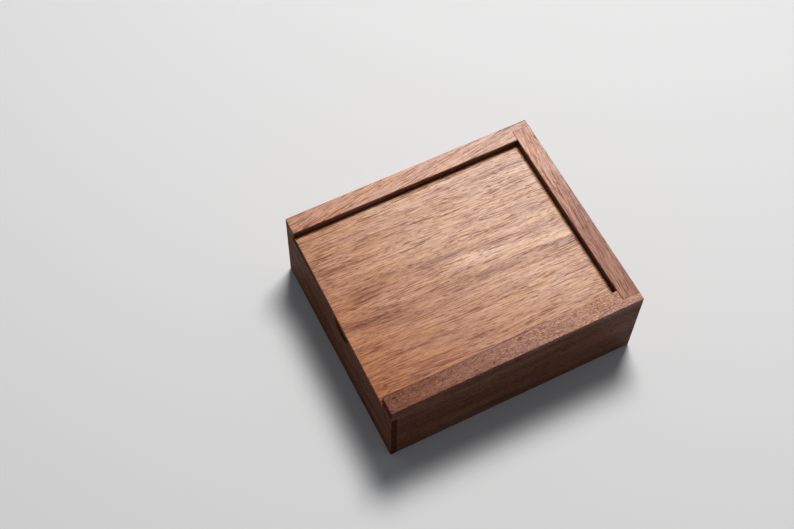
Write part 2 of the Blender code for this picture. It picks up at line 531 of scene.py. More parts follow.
class Tree:
    """The node tree of a material or of the world, built up one node at a time."""

    def __init__(self, owner: bpy.types.Material | bpy.types.World) -> None:
        """Start with an empty tree.

        Args:
            owner: the new material or world that the tree belongs to.
        """
        owner.use_nodes = True
        self.owner = owner
        self.tree = owner.node_tree
        self.tree.nodes.clear()

    def node(self, kind: str, **settings: object) -> bpy.types.Node:
        """Add a node.

        Args:
            kind: the node's type, without the words that all shader nodes begin with.
            settings: the node's own properties.

        Returns:
            The new node.
        """
        made = self.tree.nodes.new("ShaderNode" + kind)
        for key, value in settings.items():
            setattr(made, key, value)
        return made

    def feed(self, socket: Socket, value: Input) -> None:
        """Wire a socket to another one, or set its value.

        Args:
            socket: the socket to fill.
            value: another node's output, or a plain number, place or colour.
        """
        if isinstance(value, Socket):
            self.tree.links.new(value, socket)
        elif socket.type == "RGBA":
            socket.default_value = (*value, 1.0)
        else:
            socket.default_value = value

    def sum(self, operation: str, first: Input, second: Input = 0.0, clamp: bool = False) -> Socket:
        """Add a node that does one sum on two numbers.

        Args:
            operation: the sum.
            first: the first number.
            second: the second number.
            clamp: whether the result is kept between 0 and 1.

        Returns:
            The result.
        """
        made = self.node("Math", operation=operation, use_clamp=clamp)
        self.feed(made.inputs[0], first)
        self.feed(made.inputs[1], second)
        return made.outputs[0]

    def vector(self, operation: str, first: Input, second: Input, result: str = "Vector") -> Socket:
        """Add a node that does one sum on two vectors.

        Args:
            operation: the sum.
            first: the first vector.
            second: the second vector.
            result: the output that holds the result, which is Value where it is a number.

        Returns:
            The result.
        """
        made = self.node("VectorMath", operation=operation)
        self.feed(made.inputs[0], first)
        self.feed(made.inputs[1], second)
        return made.outputs[result]

    def span(self, value: Input, source: Point, target: Point = (0.0, 1.0)) -> Socket:
        """Map one span of numbers smoothly onto another.

        Args:
            value: the number to map.
            source: the ends of the span that it is read on.
            target: what those two ends become.

        Returns:
            The mapped number.
        """
        made = self.node("MapRange", interpolation_type="SMOOTHSTEP", clamp=True)
        for socket, number in zip(made.inputs, (value, *source, *target)):
            self.feed(socket, number)
        return made.outputs[0]

    def blend(self, share: Input, first: Input, second: Input, how: str = "MIX") -> Socket:
        """Mix two colours.

        Args:
            share: how much of the second colour comes in.
            first: the first colour.
            second: the second colour.
            how: the way that they mix.

        Returns:
            The mixed colour.
        """
        made = self.node("Mix", data_type="RGBA", blend_type=how)
        self.feed(made.inputs[0], share)
        self.feed(made.inputs[6], first)
        self.feed(made.inputs[7], second)
        return made.outputs[2]

    def noise(self, place: Socket, cell_mm: Point, start: Place, detail: float) -> bpy.types.Node:
        """Add a noise that is drawn out along the grain.

        Args:
            place: the point, in millimetres, with the grain along X.
            cell_mm: the noise's size along and across the grain.
            start: where in the endless noise the pattern starts.
            detail: how many finer layers it has.

        Returns:
            The noise's node.
        """
        along, across = cell_mm
        drawn = self.vector("MULTIPLY", place, (1.0 / along, 1.0 / across, 1.0 / across))
        made = self.node("TexNoise", noise_dimensions="3D")
        self.feed(made.inputs["Vector"], self.vector("ADD", drawn, start))
        self.feed(made.inputs["Scale"], 1.0)
        self.feed(made.inputs["Detail"], detail)
        return made

    def mottle(self, place: Socket, cell_mm: Point, detail: float, seed: float) -> Socket:
        """Add a mottle, which is a noise that a seed picks.

        Args:
            place: the point, in millimetres, with the grain along X.
            cell_mm: the mottle's size along and across the grain.
            detail: how many finer layers it has.
            seed: picks one pattern among many.

        Returns:
            The mottle's value, about 0.5 on average.
        """
        start = tuple(seed * share for share in SEED_WAY)
        made = self.noise(place, cell_mm, start, detail)
        self.feed(made.inputs["Roughness"], NOISE_ROUGHNESS)
        return made.outputs[0]


@dataclass(frozen=True)
class Layer:
    """One size of streak in the grain.

    Attributes:
        along_mm: how long its streaks are.
        across_mm: how wide they are.
        strength: how much they change the wood.
    """

    along_mm: float
    across_mm: float
    strength: float

    @property
    def cell_mm(self) -> Point:
        """The streaks' length and width."""
        return (self.along_mm, self.across_mm)


@dataclass(frozen=True)
class Band:
    """A stretch of a board where the wood has another tone, from a short patch to a long band.

    Attributes:
        middle_mm: its middle, along and across the grain.
        reach_mm: how far it goes from there, along and across.
        tone: how much paler, or darker below zero, it is.
        slope: how far it drifts across for each millimetre along.
    """

    middle_mm: Point
    reach_mm: Point
    tone: float
    slope: float = 0.0


@dataclass(frozen=True)
class Drift:
    """A slow change of colour over a board, from one place to another; on the front board it is painted
    sheen on the rail's top.

    Attributes:
        start_mm, end_mm: the two places, along and across the grain, and upwards.
        start_tint, end_tint: what the wood's colour is multiplied by there.
    """

    start_mm: Place = (-90.0, 0.0, 0.0)
    end_mm: Place = (90.0, 0.0, 0.0)
    start_tint: Colour = (1.0, 1.0, 1.0)
    end_tint: Colour = (1.0, 1.0, 1.0)


@dataclass(frozen=True)
class Walnut:
    """Oiled walnut, cut from a log with rings, fibre lines and open pores.

    Attributes:
        name: the material's name.
        grain: the way the grain runs.
        pale, middle, dark: the ground's colours, from light to dark.
        tilt: the turn of the grain out of the board's length, about Z.
        pith_mm: where the log's middle is, across the grain.
        rings: size and strength of the growth rings.
        ground: the slow swings of tone, from wide to fine.
        lines: the thin dark fibre lines: how far they run, how far apart they are, how dark.
        line_tint: what a line's colour is of the ground's.
        thinness: the share of their spacing that the lines take up.
        crowding: how unevenly the lines are spread.
        pores: how dark the pores are.
        wander_mm: how far the grain wanders.
        ripple_mm: how much its fine lines ripple.
        roughness: roughness of the oiled surface.
        gloss: strength of its mirror light.
        bands: the board's own bands and patches.
        drift: the board's slow change of colour, which on the front board is painted sheen.
        seed: picks one pattern among many.
    """

    name: str
    grain: Grain
    pale: Colour
    middle: Colour
    dark: Colour
    tilt: float = 0.0
    pith_mm: Point = (-60.0, -70.0)
    rings: Layer = Layer(150.0, 9.0, 0.7)
    ground: tuple[Layer, ...] = (
        Layer(52.0, 5.5, 0.42),
        Layer(30.0, 2.6, 0.45),
        Layer(14.0, 1.1, 0.50),
        Layer(7.0, 0.5, 0.50),
    )
    lines: tuple[Layer, ...] = (
        Layer(50.0, 1.9, 0.65),
        Layer(38.0, 1.05, 0.90),
        Layer(14.0, 0.65, 1.0),
    )
    thinness: float = 0.09
    line_tint: Colour = (0.45, 0.24, 0.11)
    crowding: float = 0.5
    pores: float = 0.5
    wander_mm: float = 3.0
    ripple_mm: float = 0.15
    roughness: float = 0.28
    gloss: float = 0.18
    bands: tuple[Band, ...] = ()
    drift: Drift = Drift()
    seed: float = 0.0


class WalnutTree(Tree):
    """The node tree of one board's walnut.

    Attributes:
        wood: the finish that it follows.
        place: the place on the board, in millimetres, with the grain along X.
        waved: the place in the log, where the grain has wandered.
        tone: how pale the ground is, from 0 for darkest to 1 for palest.
        lines: how dark a fibre line is, from 0 between the lines to about 1 in the strongest.
        pores: 1 in a pore and 0 elsewhere.
        ends: 1 on end grain and 0 on the faces.
    """

    def __init__(self, wood: Walnut) -> None:
        """Build the material of a finish.

        Args:
            wood: the finish to follow.
        """
        super().__init__(bpy.data.materials.new(wood.name))
        self.wood = wood
        coordinates = self.node("TexCoord")
        self.place = self.lay_grain(coordinates.outputs["Object"])
        self.waved = self.wave()
        self.tone = self.shade()
        self.lines = self.draw_lines()
        self.pores = self.scatter_pores()
        self.ends = self.find_ends(coordinates.outputs["Normal"])
        shader = self.node("BsdfPrincipled")
        for name, value in (
            ("Base Color", self.mark(self.colour())),
            ("Roughness", self.roughness()),
            ("IOR", OIL_IOR),
            ("Specular IOR Level", wood.gloss),
            ("Normal", self.relief()),
        ):
            self.feed(shader.inputs[name], value)
        self.feed(self.node("OutputMaterial").inputs["Surface"], shader.outputs[0])

    def lay_grain(self, place: Socket) -> Socket:
        """Turn the board's own place into millimetres with the grain along X.

        Args:
            place: the place on the board, in metres.

        Returns:
            The turned place.
        """
        mapping = self.node("Mapping", vector_type="POINT")
        self.feed(mapping.inputs["Vector"], place)
        self.feed(mapping.inputs["Rotation"], (0.0, 0.0, self.wood.grain.value + self.wood.tilt))
        self.feed(mapping.inputs["Scale"], (MM_PER_M, MM_PER_M, MM_PER_M))
        return mapping.outputs[0]

    def wave(self) -> Socket:
        """Let the grain wander across the board as it runs along it.

        Returns:
            The place in the log.
        """
        seed, waved = self.wood.seed, self.place
        for pattern, cell_mm, reach_mm in (
            (Pattern.WANDER, WANDER_CELL_MM, self.wood.wander_mm),
            (Pattern.RIPPLE, RIPPLE_CELL_MM, self.wood.ripple_mm),
        ):
            start = (pattern.value + seed, pattern.value, seed)
            noise = self.noise(self.place, cell_mm, start, CLOUD_DETAIL)
            centred = self.vector("SUBTRACT", noise.outputs["Color"], (MIDDLE, MIDDLE, MIDDLE))
            push = self.vector("MULTIPLY", centred, (0.0, 2.0 * reach_mm, 2.0 * reach_mm))
            waved = self.vector("ADD", waved, push)
        return waved

    def shade(self) -> Socket:
        """Work out how pale the ground is, from its rings, its streaks and its bands.

        Returns:
            The tone.
        """
        wood = self.wood
        across = self.vector("MULTIPLY", self.waved, (0.0, 1.0, 1.0))
        from_pith = self.vector("DISTANCE", across, (0.0, *wood.pith_mm), "Value")
        apart = self.node("SeparateXYZ")
        self.feed(apart.inputs[0], self.waved)
        joined = self.node("CombineXYZ")
        self.feed(joined.inputs["X"], apart.outputs["X"])
        self.feed(joined.inputs["Y"], from_pith)
        rings = self.mottle(joined.outputs[0], wood.rings.cell_mm, CLOUD_DETAIL, wood.seed)
        tone = self.sum("ADD", MIDDLE, self.swing(rings, wood.rings.strength))
        for index, layer in enumerate(wood.ground):
            seed = wood.seed + GROUND_STEP * (index + 1)
            streaks = self.mottle(self.waved, layer.cell_mm, STREAK_DETAIL, seed)
            tone = self.sum("ADD", tone, self.swing(streaks, layer.strength))
        for band in wood.bands:
            tone = self.sum("ADD", tone, self.draw_band(apart, band))
        return tone

    def swing(self, noise: Socket, strength: float) -> Socket:
        """Centre a noise on zero and give it a strength."""
        return self.sum("MULTIPLY", self.sum("SUBTRACT", noise, MIDDLE), strength)

    def draw_band(self, apart: bpy.types.Node, band: Band) -> Socket:
        """Draw one band or patch, soft at its rim.

        Args:
            apart: the node that holds the place along and across the grain.
            band: the band to draw.

        Returns:
            What the band adds to the tone.
        """
        along = self.sum("SUBTRACT", apart.outputs["X"], band.middle_mm[0])
        middle = self.sum("ADD", self.sum("MULTIPLY", along, band.slope), band.middle_mm[1])
        across = self.sum("SUBTRACT", apart.outputs["Y"], middle)
        added = band.tone
        for away, core, reach in zip((along, across), BAND_CORE, band.reach_mm):
            shown = self.span(self.sum("ABSOLUTE", away), (core * reach, reach), (1.0, 0.0))
            added = self.sum("MULTIPLY", shown, added)
        return added

    def draw_lines(self) -> Socket:
        """Draw the thin fibre lines, crowded in some places, and fewer in the palest wood.

        Returns:
            How dark a line is.
        """
        wood = self.wood
        seed = wood.seed + Pattern.LINE_CROWD.value
        spread = self.mottle(self.waved, LINE_CROWD_CELL_MM, CLOUD_DETAIL, seed)
        crowd = self.span(spread, LINE_CROWD_SPAN, (1.0 - wood.crowding, 1.0))
        thickness = (LINE_CORE * wood.thinness, wood.thinness)
        lines = 0.0
        for index, layer in enumerate(wood.lines):
            seed = wood.seed + Pattern.LINES.value + LINE_STEP * index
            noise = self.mottle(self.waved, layer.cell_mm, SMOOTH_DETAIL, seed)
            off_crest = self.sum("ABSOLUTE", self.sum("SUBTRACT", noise, MIDDLE))
            line = self.span(off_crest, thickness, (layer.strength, 0.0))
            dash = tuple(share * size for share, size in zip(DASH_SHARE, layer.cell_mm))
            dashes = self.mottle(self.waved, dash, SMOOTH_DETAIL, seed + DASH_STEP)
            shown = self.span(dashes, DASH_SPAN)
            lines = self.sum("ADD", self.sum("MULTIPLY", line, shown), lines)
        crowd = self.sum("MULTIPLY", crowd, self.span(self.tone, PALE_SPAN, (1.0, LINES_IN_PALE)))
        return self.sum("MULTIPLY", lines, crowd, clamp=True)

    def scatter_pores(self) -> Socket:
        """Scatter the open pores, thick in some places and thin in others.

        Returns:
            1 in a pore and 0 elsewhere.
        """
        seed = self.wood.seed
        grains = self.mottle(self.waved, PORE_CELL_MM, SMOOTH_DETAIL, seed + Pattern.PORES.value)
        crowd = self.mottle(self.waved, PORE_CROWD_CELL_MM, CLOUD_DETAIL, seed + Pattern.PORE_CROWD.value)
        thinned = self.sum("MULTIPLY", self.sum("SUBTRACT", MIDDLE, crowd), PORE_CROWDING)
        return self.span(self.sum("SUBTRACT", grains, thinned), PORE_SPAN)

    def find_ends(self, normal: Socket) -> Socket:
        """Tell end grain, where the surface cuts across the fibres, from the board's faces.

        Args:
            normal: the way that the surface looks.

        Returns:
            1 on end grain and 0 on the faces.
        """
        grain_way = (1.0, 0.0, 0.0) if self.wood.grain is Grain.ALONG_LENGTH else (0.0, 1.0, 0.0)
        facing = self.vector("DOT_PRODUCT", normal, grain_way, "Value")
        return self.span(self.sum("ABSOLUTE", facing), END_GRAIN_SPAN)

    def colour(self) -> Socket:
        """Colour the wood by its tone, and let the colour drift over the board.

        Returns:
            The ground's colour.
        """
        wood = self.wood
        ramp = self.node("ValToRGB")
        ramp.color_ramp.interpolation = "LINEAR"
        stops = ramp.color_ramp.elements
        stops[0].position, stops[0].color = 0.0, (*wood.dark, 1.0)
        stops[1].position, stops[1].color = 1.0, (*wood.pale, 1.0)
        stops.new(MIDDLE).color = (*wood.middle, 1.0)
        self.feed(ramp.inputs[0], self.tone)
        clouds = self.mottle(self.place, WARMTH_CELL_MM, CLOUD_DETAIL, wood.seed + Pattern.WARMTH.value)
        warmth = self.blend(self.span(clouds, WARMTH_SPAN), COOL_TINT, WARM_TINT)
        warmed = self.blend(1.0, ramp.outputs[0], warmth, "MULTIPLY")
        return self.blend(1.0, warmed, self.drift(), "MULTIPLY")

    def drift(self) -> Socket:
        """Work out the board's slow change of colour at a place.

        Returns:
            What the wood's colour is multiplied by.
        """
        drift = self.wood.drift
        reach = Vector(drift.end_mm) - Vector(drift.start_mm)
        gone = self.vector("SUBTRACT", self.place, drift.start_mm)
        share = self.vector("DOT_PRODUCT", gone, reach / reach.length_squared, "Value")
        return self.blend(self.sum("ADD", share, clamp=True), drift.start_tint, drift.end_tint)

    def mark(self, colour: Socket) -> Socket:
        """Darken lines, pores and end grain, paint shade on the wall round the lid, and lighten rounded
        edges as partly wear and partly painted highlight.

        Args:
            colour: the ground's colour.

        Returns:
            The marked colour.
        """
        for share, tint in (
            (self.lines, self.wood.line_tint),
            (self.sum("MULTIPLY", self.pores, self.wood.pores), PORE_TINT),
            (self.ends, END_GRAIN_TINT),
            # Painted shade on the walls round the lid
            (self.node("Attribute", attribute_name="recess_shade").outputs["Fac"], RECESS_SHADE_TINT),
            # Lighter rounded edges: partly wear, partly painted highlight
            (self.node("Attribute", attribute_name="wear_and_highlight").outputs["Fac"], WEAR_AND_HIGHLIGHT_TINT),
        ):
            colour = self.blend(share, colour, tint, "MULTIPLY")
        return colour

    def roughness(self) -> Socket:
        """Dull the oiled surface at its pores, lines and end grain.

        Returns:
            The roughness.
        """
        rough = self.wood.roughness
        dulled = ((self.pores, PORE_DULLING), (self.lines, LINE_DULLING), (self.ends, END_DULLING))
        for mask, added in dulled:
            rough = self.sum("ADD", self.sum("MULTIPLY", mask, added), rough)
        return rough

    def relief(self) -> Socket:
        """Raise the pale fibres and sink the lines and the pores.

        Returns:
            The bumped normal.
        """
        height = self.sum("MULTIPLY", self.tone, PALE_RISE)
        for mask, depth in ((self.lines, LINE_DEPTH), (self.pores, PORE_DEPTH)):
            height = self.sum("SUBTRACT", height, self.sum("MULTIPLY", mask, depth))
        bump = self.node("Bump")
        for name, value in (("Strength", BUMP_STRENGTH), ("Distance", BUMP_HEIGHT), ("Height", height)):
            self.feed(bump.inputs[name], value)
        return bump.outputs[0]


# The boards of the case


@dataclass
class Board:
    """One board of the box.

    Attributes:
        case: the sizes that it is cut to.
        name: the piece's name.
        node: the part's node that it stands in for.
        body: the body that it rides on.
        finish: its wood.
    """

    case: CaseSizes
    name: str
    node: str
    body: str
    finish: Walnut

    def cut(self) -> Blank:
        """Cut the board's solid; each kind of board has its own way."""
        raise NotImplementedError

    def joint_planes(self) -> list[Plane]:
        """List the planes of the faces that another board covers."""
        return []

    def shown_planes(self) -> list[Plane]:
        """List the outer planes whose edges are rounded over by hand.

        Returns:
            The case's six outer planes.
        """
        case = self.case
        return [
            Plane(AXIS_X, case.left, -1),
            Plane(AXIS_X, case.right, 1),
            Plane(AXIS_Y, case.front, -1),
            Plane(AXIS_Y, case.back, 1),
            Plane(AXIS_Z, case.height, 1),
            Plane(AXIS_Z, 0.0, -1),
        ]

    def arris(self, edge: Edge) -> Arris:
        """Say what happens to an edge.

        Args:
            edge: the edge to judge.

        Returns:
            Rounded on the outside and round the opening, crisp at a seam or a groove.
        """
        if not turns_outwards(edge):
            return Arris.KEPT
        covered = [any(plane.holds(face) for plane in self.joint_planes()) for face in edge.link_faces]
        if all(covered):
            return Arris.KEPT
        if any(covered):
            return Arris.CRISP
        shown = [any(plane.holds(face) for plane in self.shown_planes()) for face in edge.link_faces]
        if all(shown) or self.is_rim(edge):
            return Arris.ROUNDED
        return Arris.CRISP

    def is_rim(self, edge: Edge) -> bool:
        """Tell whether an edge lies along the rim of the box's opening."""
        return all(abs(corner.co.z - self.case.height) < SAME_PLACE for corner in edge.verts)

    def faces_opening(self, place: Vector) -> bool:
        """Tell whether a place on the board lies on the wall round the lid."""
        return False

    def recess_shade_amount(self, corner: Corner) -> float:
        """Tell how much painted shade a corner of the board gets; the wall round the lid is darkened
        where shade falls on it.

        Args:
            corner: the corner of the board.

        Returns:
            0 outside the opening, and up to 1 towards the lid inside it.
        """
        case, height = self.case, corner.co.z
        if not (self.faces_opening(corner.co) and case.lid.shoulder < height < case.height - SAME_PLACE):
            return 0.0
        depth = (case.height - height) / (case.height - case.lid.top)
        return min(1.0, RECESS_SHADE_AT_RIM + (1.0 - RECESS_SHADE_AT_RIM) * depth)

    def build(self) -> bpy.types.Object:
        """Cut, ease, dress and place the board.

        Returns:
            The finished piece, riding on its body in place of its node.
        """
        blank = self.cut()
        blank.close()
        blank.ease(self.case.rounding, ROUNDED_STEPS, lambda edge: self.arris(edge) is Arris.ROUNDED)
        blank.ease(self.case.crisp, CRISP_STEPS, lambda edge: self.arris(edge) is Arris.CRISP)
        # Painted shade: the walls round the lid are darkened towards it
        blank.paint_recess_shade(self.recess_shade_amount)
        piece = blank.finish(self.name)
        piece.data.materials.append(WalnutTree(self.finish).owner)
        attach(piece, self.body)
        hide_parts(self.node)
        log.info("%s: %d faces", piece.name, len(piece.data.polygons))
        return piece


@dataclass
class LongBoard(Board):
    """The front or back board: grooved for lid and bottom, rabbeted right, notched left.

    Attributes:
        side: which of the two it is.
    """

    side: Side = Side.FRONT

    @property
    def notch_x(self) -> float:
        """Where the left wall's end laps over the board."""
        return self.case.left + self.case.left_lip + self.case.seam

    def cut(self) -> Blank:
        """Grow the board from its section in three lengths.

        Returns:
            The board's solid, with its grooves, rabbet and notch.
        """
        case = self.case
        outer, inwards = case.outer_face(self.side), self.side.value
        blank = Blank(lambda depth, height: Vector((self.notch_x, outer + inwards * depth, height)))
        lip, floor, top = case.right_lip, case.groove_floor, case.height
        groove = case.lid_groove()
        rail_outer = blank.face([(0.0, floor), (lip, floor), (lip, top), (0.0, top)])
        rail_inner = blank.face([(lip, floor), *groove, (case.board, top), (lip, top)])
        wall_outer = blank.face([(0.0, 0.0), (lip, 0.0), (lip, floor), (0.0, floor)])
        wall_inner = blank.face([(lip, 0.0), *case.inner_side(), groove[0], (lip, floor)])
        section = [rail_outer, rail_inner, wall_outer, wall_inner]
        run = Vector((case.right_inner - self.notch_x, 0.0, 0.0))
        ends = blank.grow(section, run)
        blank.grow([rail_outer, rail_inner], Vector((case.left - self.notch_x, 0.0, 0.0)))
        lips = [face for face in ends if self.is_lip(face)]
        blank.grow(lips, Vector((case.board, 0.0, 0.0)))
        return blank

    def faces_opening(self, place: Vector) -> bool:
        """Tell whether a place lies on the board's inner face."""
        return abs(place.y - self.case.inner_face(self.side)) < SAME_PLACE

    def is_lip(self, face: Face) -> bool:
        """Tell whether a face of the section belongs to the thin lip over the right wall's end."""
        outer = self.case.outer_face(self.side)
        return all(abs(corner.co.y - outer) < self.case.right_lip + SAME_PLACE for corner in face.verts)

    def joint_planes(self) -> list[Plane]:
        """List the planes of the faces that the two end boards and the bottom panel cover.

        Returns:
            The notch, the rail's foot over it, the rabbet's two faces and the bottom groove's floor.
        """
        case, inwards = self.case, self.side.value
        outer = case.outer_face(self.side)
        return [
            Plane(AXIS_X, self.notch_x, -1),
            Plane(AXIS_Z, case.groove_floor, -1),
            Plane(AXIS_Y, outer + inwards * case.right_lip, inwards),
            Plane(AXIS_X, case.right_inner, 1),
            Plane(AXIS_Y, outer + inwards * (case.board - case.bottom_groove_depth), inwards),
        ]


@dataclass
class RightWall(Board):
    """The tall end board that stops the lid, set into the long boards' rabbets."""

    def cut(self) -> Blank:
        """Grow the board from its section in one length.

        Returns:
            The board's solid, with its two grooves.
        """
        case = self.case
        start = case.front + case.right_lip + case.seam
        end = case.back - case.right_lip - case.seam
        thickness = case.board - case.seam
        blank = Blank(lambda depth, height: Vector((case.right - min(depth, thickness), start, height)))
        top = [(case.board, case.height), (0.0, case.height)]
        section = blank.face([(0.0, 0.0), *case.inner_side(), *case.lid_groove(), *top])
        blank.grow([section], Vector((0.0, end - start, 0.0)))
        return blank

    def faces_opening(self, place: Vector) -> bool:
        """Tell whether a place lies on the board's inner face."""
        return place.x < self.case.right_inner + self.case.seam + SAME_PLACE

    def joint_planes(self) -> list[Plane]:
        """List the planes of the faces that the long boards and the bottom panel cover.

        Returns:
            The two ends, and the bottom groove's floor.
        """
        case = self.case
        reach = case.right_lip + case.seam
        return [
            Plane(AXIS_Y, case.front + reach, -1),
            Plane(AXIS_Y, case.back - reach, 1),
            Plane(AXIS_X, case.right_inner + case.bottom_groove_depth, -1),
        ]


@dataclass
class LeftWall(Board):
    """The low end board that the lid slides over, with its ends lapping the long boards.

    Attributes:
        notch_width, notch_depth: size of the finger notch in the board's top.
        notch_middle: place of its middle along Y.
        notch_steps: number of flats in its arc.
    """

    notch_width: float = 0.0210
    notch_depth: float = 0.0110
    notch_middle: float = -0.0062
    notch_steps: int = 56

    @property
    def top(self) -> float:
        """Height of the wall's top."""
        return self.case.groove_floor - self.case.seam

    @property
    def notch_radius(self) -> float:
        """Radius of the finger notch."""
        half = self.notch_width / 2.0
        return (half * half + self.notch_depth * self.notch_depth) / (2.0 * self.notch_depth)

    @property
    def notch_centre(self) -> Point:
        """Place along Y and height of the notch's centre."""
        return (self.notch_middle, self.top - self.notch_depth + self.notch_radius)

    def notch_points(self) -> list[Point]:
        """Draw the notch's arc, from its front end to its back end.

        Returns:
            Points as place along Y, and height.
        """
        middle, centre = self.notch_centre
        radius, steps = self.notch_radius, self.notch_steps
        half_angle = math.asin(self.notch_width / 2.0 / radius)
        turns = [half_angle * (2.0 * step / steps - 1.0) for step in range(steps + 1)]
        return [(middle + radius * math.sin(turn), centre - radius * math.cos(turn)) for turn in turns]

    def cut(self) -> Blank:
        """Grow the board from its end view, in three layers from the outside in.

        Returns:
            The board's solid, with its lapped ends, notch and bottom groove.
        """
        case = self.case
        front = case.inner_face(Side.FRONT) + case.seam
        back = case.inner_face(Side.BACK) - case.seam
        blank = Blank(lambda across, height: Vector((case.left, across, height)))
        low, high = case.bottom_rise, case.bottom_top
        levels = [0.0, low, high, self.top]
        foot = blank.face([(front, 0.0), (back, 0.0), (back, low), (front, low)])
        tongue = blank.face([(front, low), (back, low), (back, high), (front, high)])
        notched = [(back, self.top), *reversed(self.notch_points()), (front, self.top)]
        rail = blank.face([(front, high), (back, high), *notched])
        laps = []
        for seam, outside in ((front, case.front), (back, case.back)):
            inner_edge = [(seam, level) for level in levels]
            laps.append(blank.face([(outside, 0.0), *inner_edge, (outside, self.top)]))
        section = [foot, tongue, rail, *laps]
        inner = blank.grow(section, Vector((case.left_lip, 0.0, 0.0)))
        middle = [face for face in inner if self.is_between(face, front, back)]
        web = case.board - case.bottom_groove_depth - case.left_lip
        behind = blank.grow(middle, Vector((web, 0.0, 0.0)))
        lands = [face for face in behind if not low < face.calc_center_median().z < high]
        blank.grow(lands, Vector((case.bottom_groove_depth, 0.0, 0.0)))
        return blank

    @staticmethod
    def is_between(face: Face, front: float, back: float) -> bool:
        """Tell whether a face lies between the two long boards."""
        return all(front - SAME_PLACE < corner.co.y < back + SAME_PLACE for corner in face.verts)

    def joint_planes(self) -> list[Plane]:
        """List the planes of the faces that the long boards and the bottom panel cover.

        Returns:
            The laps' backs, the board's two ends between them and the bottom groove's floor.
        """
        case = self.case
        return [
            Plane(AXIS_X, case.left + case.left_lip, 1),
            Plane(AXIS_Y, case.inner_face(Side.FRONT) + case.seam, -1),
            Plane(AXIS_Y, case.inner_face(Side.BACK) - case.seam, 1),
            Plane(AXIS_X, case.left_inner - case.bottom_groove_depth, 1),
        ]

    def shown_planes(self) -> list[Plane]:
        """List the outer planes, with the wall's own low top."""
        return [*super().shown_planes(), Plane(AXIS_Z, self.top, 1)]

    def is_rim(self, edge: Edge) -> bool:
        """Tell whether an edge lies along the wall's top or round the notch.

        Args:
            edge: the edge to judge.

        Returns:
            True where fingers reach the edge.
        """
        middle, centre = self.notch_centre
        near = self.notch_radius * NEAR_NOTCH
        places = [corner.co for corner in edge.verts]
        in_notch = all(math.hypot(place.y - middle, place.z - centre) < near for place in places)
        on_top = all(abs(place.z - self.top) < SAME_PLACE for place in places)
        return in_notch or on_top


@dataclass
class BottomPanel(Board):
    """The thin panel that the grooves of all four walls hold."""

    def cut(self) -> Blank:
        """Cut the panel from one sheet.

        Returns:
            The panel's solid.
        """
        case = self.case
        reach = case.bottom_tongue
        left, right = case.left_inner - reach, case.right_inner + reach
        front = case.inner_face(Side.FRONT) - reach
        back = case.inner_face(Side.BACK) + reach
        rise = case.bottom_rise + case.seam
        blank = Blank(lambda along, across: Vector((along, across, rise)))
        sheet = blank.face([(left, front), (right, front), (right, back), (left, back)])
        blank.grow([sheet], Vector((0.0, 0.0, case.bottom_thickness - 2.0 * case.seam)))
        return blank


@dataclass
class SlidingLid(Board):
    """The lid: bevelled on its long edges and its closed end, square at its open end."""

    @property
    def front(self) -> float:
        """Place along Y of the rim's front edge."""
        return self.case.inner_face(Side.FRONT) - self.case.lid.tongue

    @property
    def back(self) -> float:
        """Place along Y of the rim's back edge."""
        return self.case.inner_face(Side.BACK) + self.case.lid.tongue

    def open_end(self, across: float) -> float:
        """Find the lid's open end, which is a little out of square.

        Args:
            across: place along Y.

        Returns:
            Place along X of the open end there.
        """
        lid = self.case.lid
        share = (across - self.front) / (self.back - self.front)
        overhang = lid.front_overhang + (lid.back_overhang - lid.front_overhang) * share
        return self.case.left - overhang

    def cut(self) -> Blank:
        """Grow the lid from its outline, and draw its top in to form the bevel.

        Returns:
            The lid's solid.
        """
        lid, front, back = self.case.lid, self.front, self.back
        closed = self.case.right_inner + lid.tongue
        blank = Blank(lambda along, across: Vector((along, across, lid.underside)))
        front_end, back_end = self.open_end(front), self.open_end(back)
        outline = [(front_end, front), (closed, front), (closed, back), (back_end, back)]
        rim = blank.grow([blank.face(outline)], Vector((0.0, 0.0, lid.shoulder - lid.underside)))
        top = blank.grow(rim, Vector((0.0, 0.0, lid.bevel_drop)))
        for corner in top[0].verts:
            if corner.co.y < (front + back) / 2.0:
                corner.co.y += lid.bevel_width
            else:
                corner.co.y -= lid.bevel_width
            at_closed_end = abs(corner.co.x - closed) < SAME_PLACE
            corner.co.x = closed - lid.bevel_width if at_closed_end else self.open_end(corner.co.y)
        return blank

    def arris(self, edge: Edge) -> Arris:
        """Ease every sharp edge of the lid; the ridge of its bevel is too blunt to need it."""
        return Arris.CRISP if turns_outwards(edge) else Arris.KEPT


# The stage, the lamps and the camera


@dataclass(frozen=True)
class Viewpoint:
    """The camera's place and the way it looks.

    Attributes:
        place: where the camera is.
        heading: its turn from +Y towards +X.
        dip: how far it looks down.
        roll: how far its right side is raised.
        lens_mm, sensor_mm: its focal length and the width of its sensor.
        clip: the nearest and the farthest that it sees.
    """

    place: Place = (-0.25338, -0.38201, 0.86307)
    heading: float = math.radians(28.246)
    dip: float = math.radians(60.508)
    roll: float = math.radians(1.704)
    lens_mm: float = 63.098
    sensor_mm: float = 36.0
    clip: Point = (0.01, 50.0)

    def make(self) -> bpy.types.Object:
        """Make the scene's camera.

        Returns:
            The camera.
        """
        ahead = Vector(
            (
                math.sin(self.heading) * math.cos(self.dip),
                math.cos(self.heading) * math.cos(self.dip),
                -math.sin(self.dip),
            )
        )
        level = ahead.cross(Vector((0.0, 0.0, 1.0))).normalized()
        upright = level.cross(ahead)
        right = math.cos(self.roll) * level + math.sin(self.roll) * upright
        up = right.cross(ahead)
        turned = Matrix((right, up, -ahead)).transposed().to_4x4()
        data = bpy.data.cameras.new("photo_camera")
        data.sensor_fit = "HORIZONTAL"
        data.sensor_width = self.sensor_mm
        data.lens = self.lens_mm
        data.clip_start, data.clip_end = self.clip
        camera = add_object("photo_camera", data)
        camera.matrix_world = Matrix.Translation(self.place) @ turned
        bpy.context.scene.camera = camera
        return camera


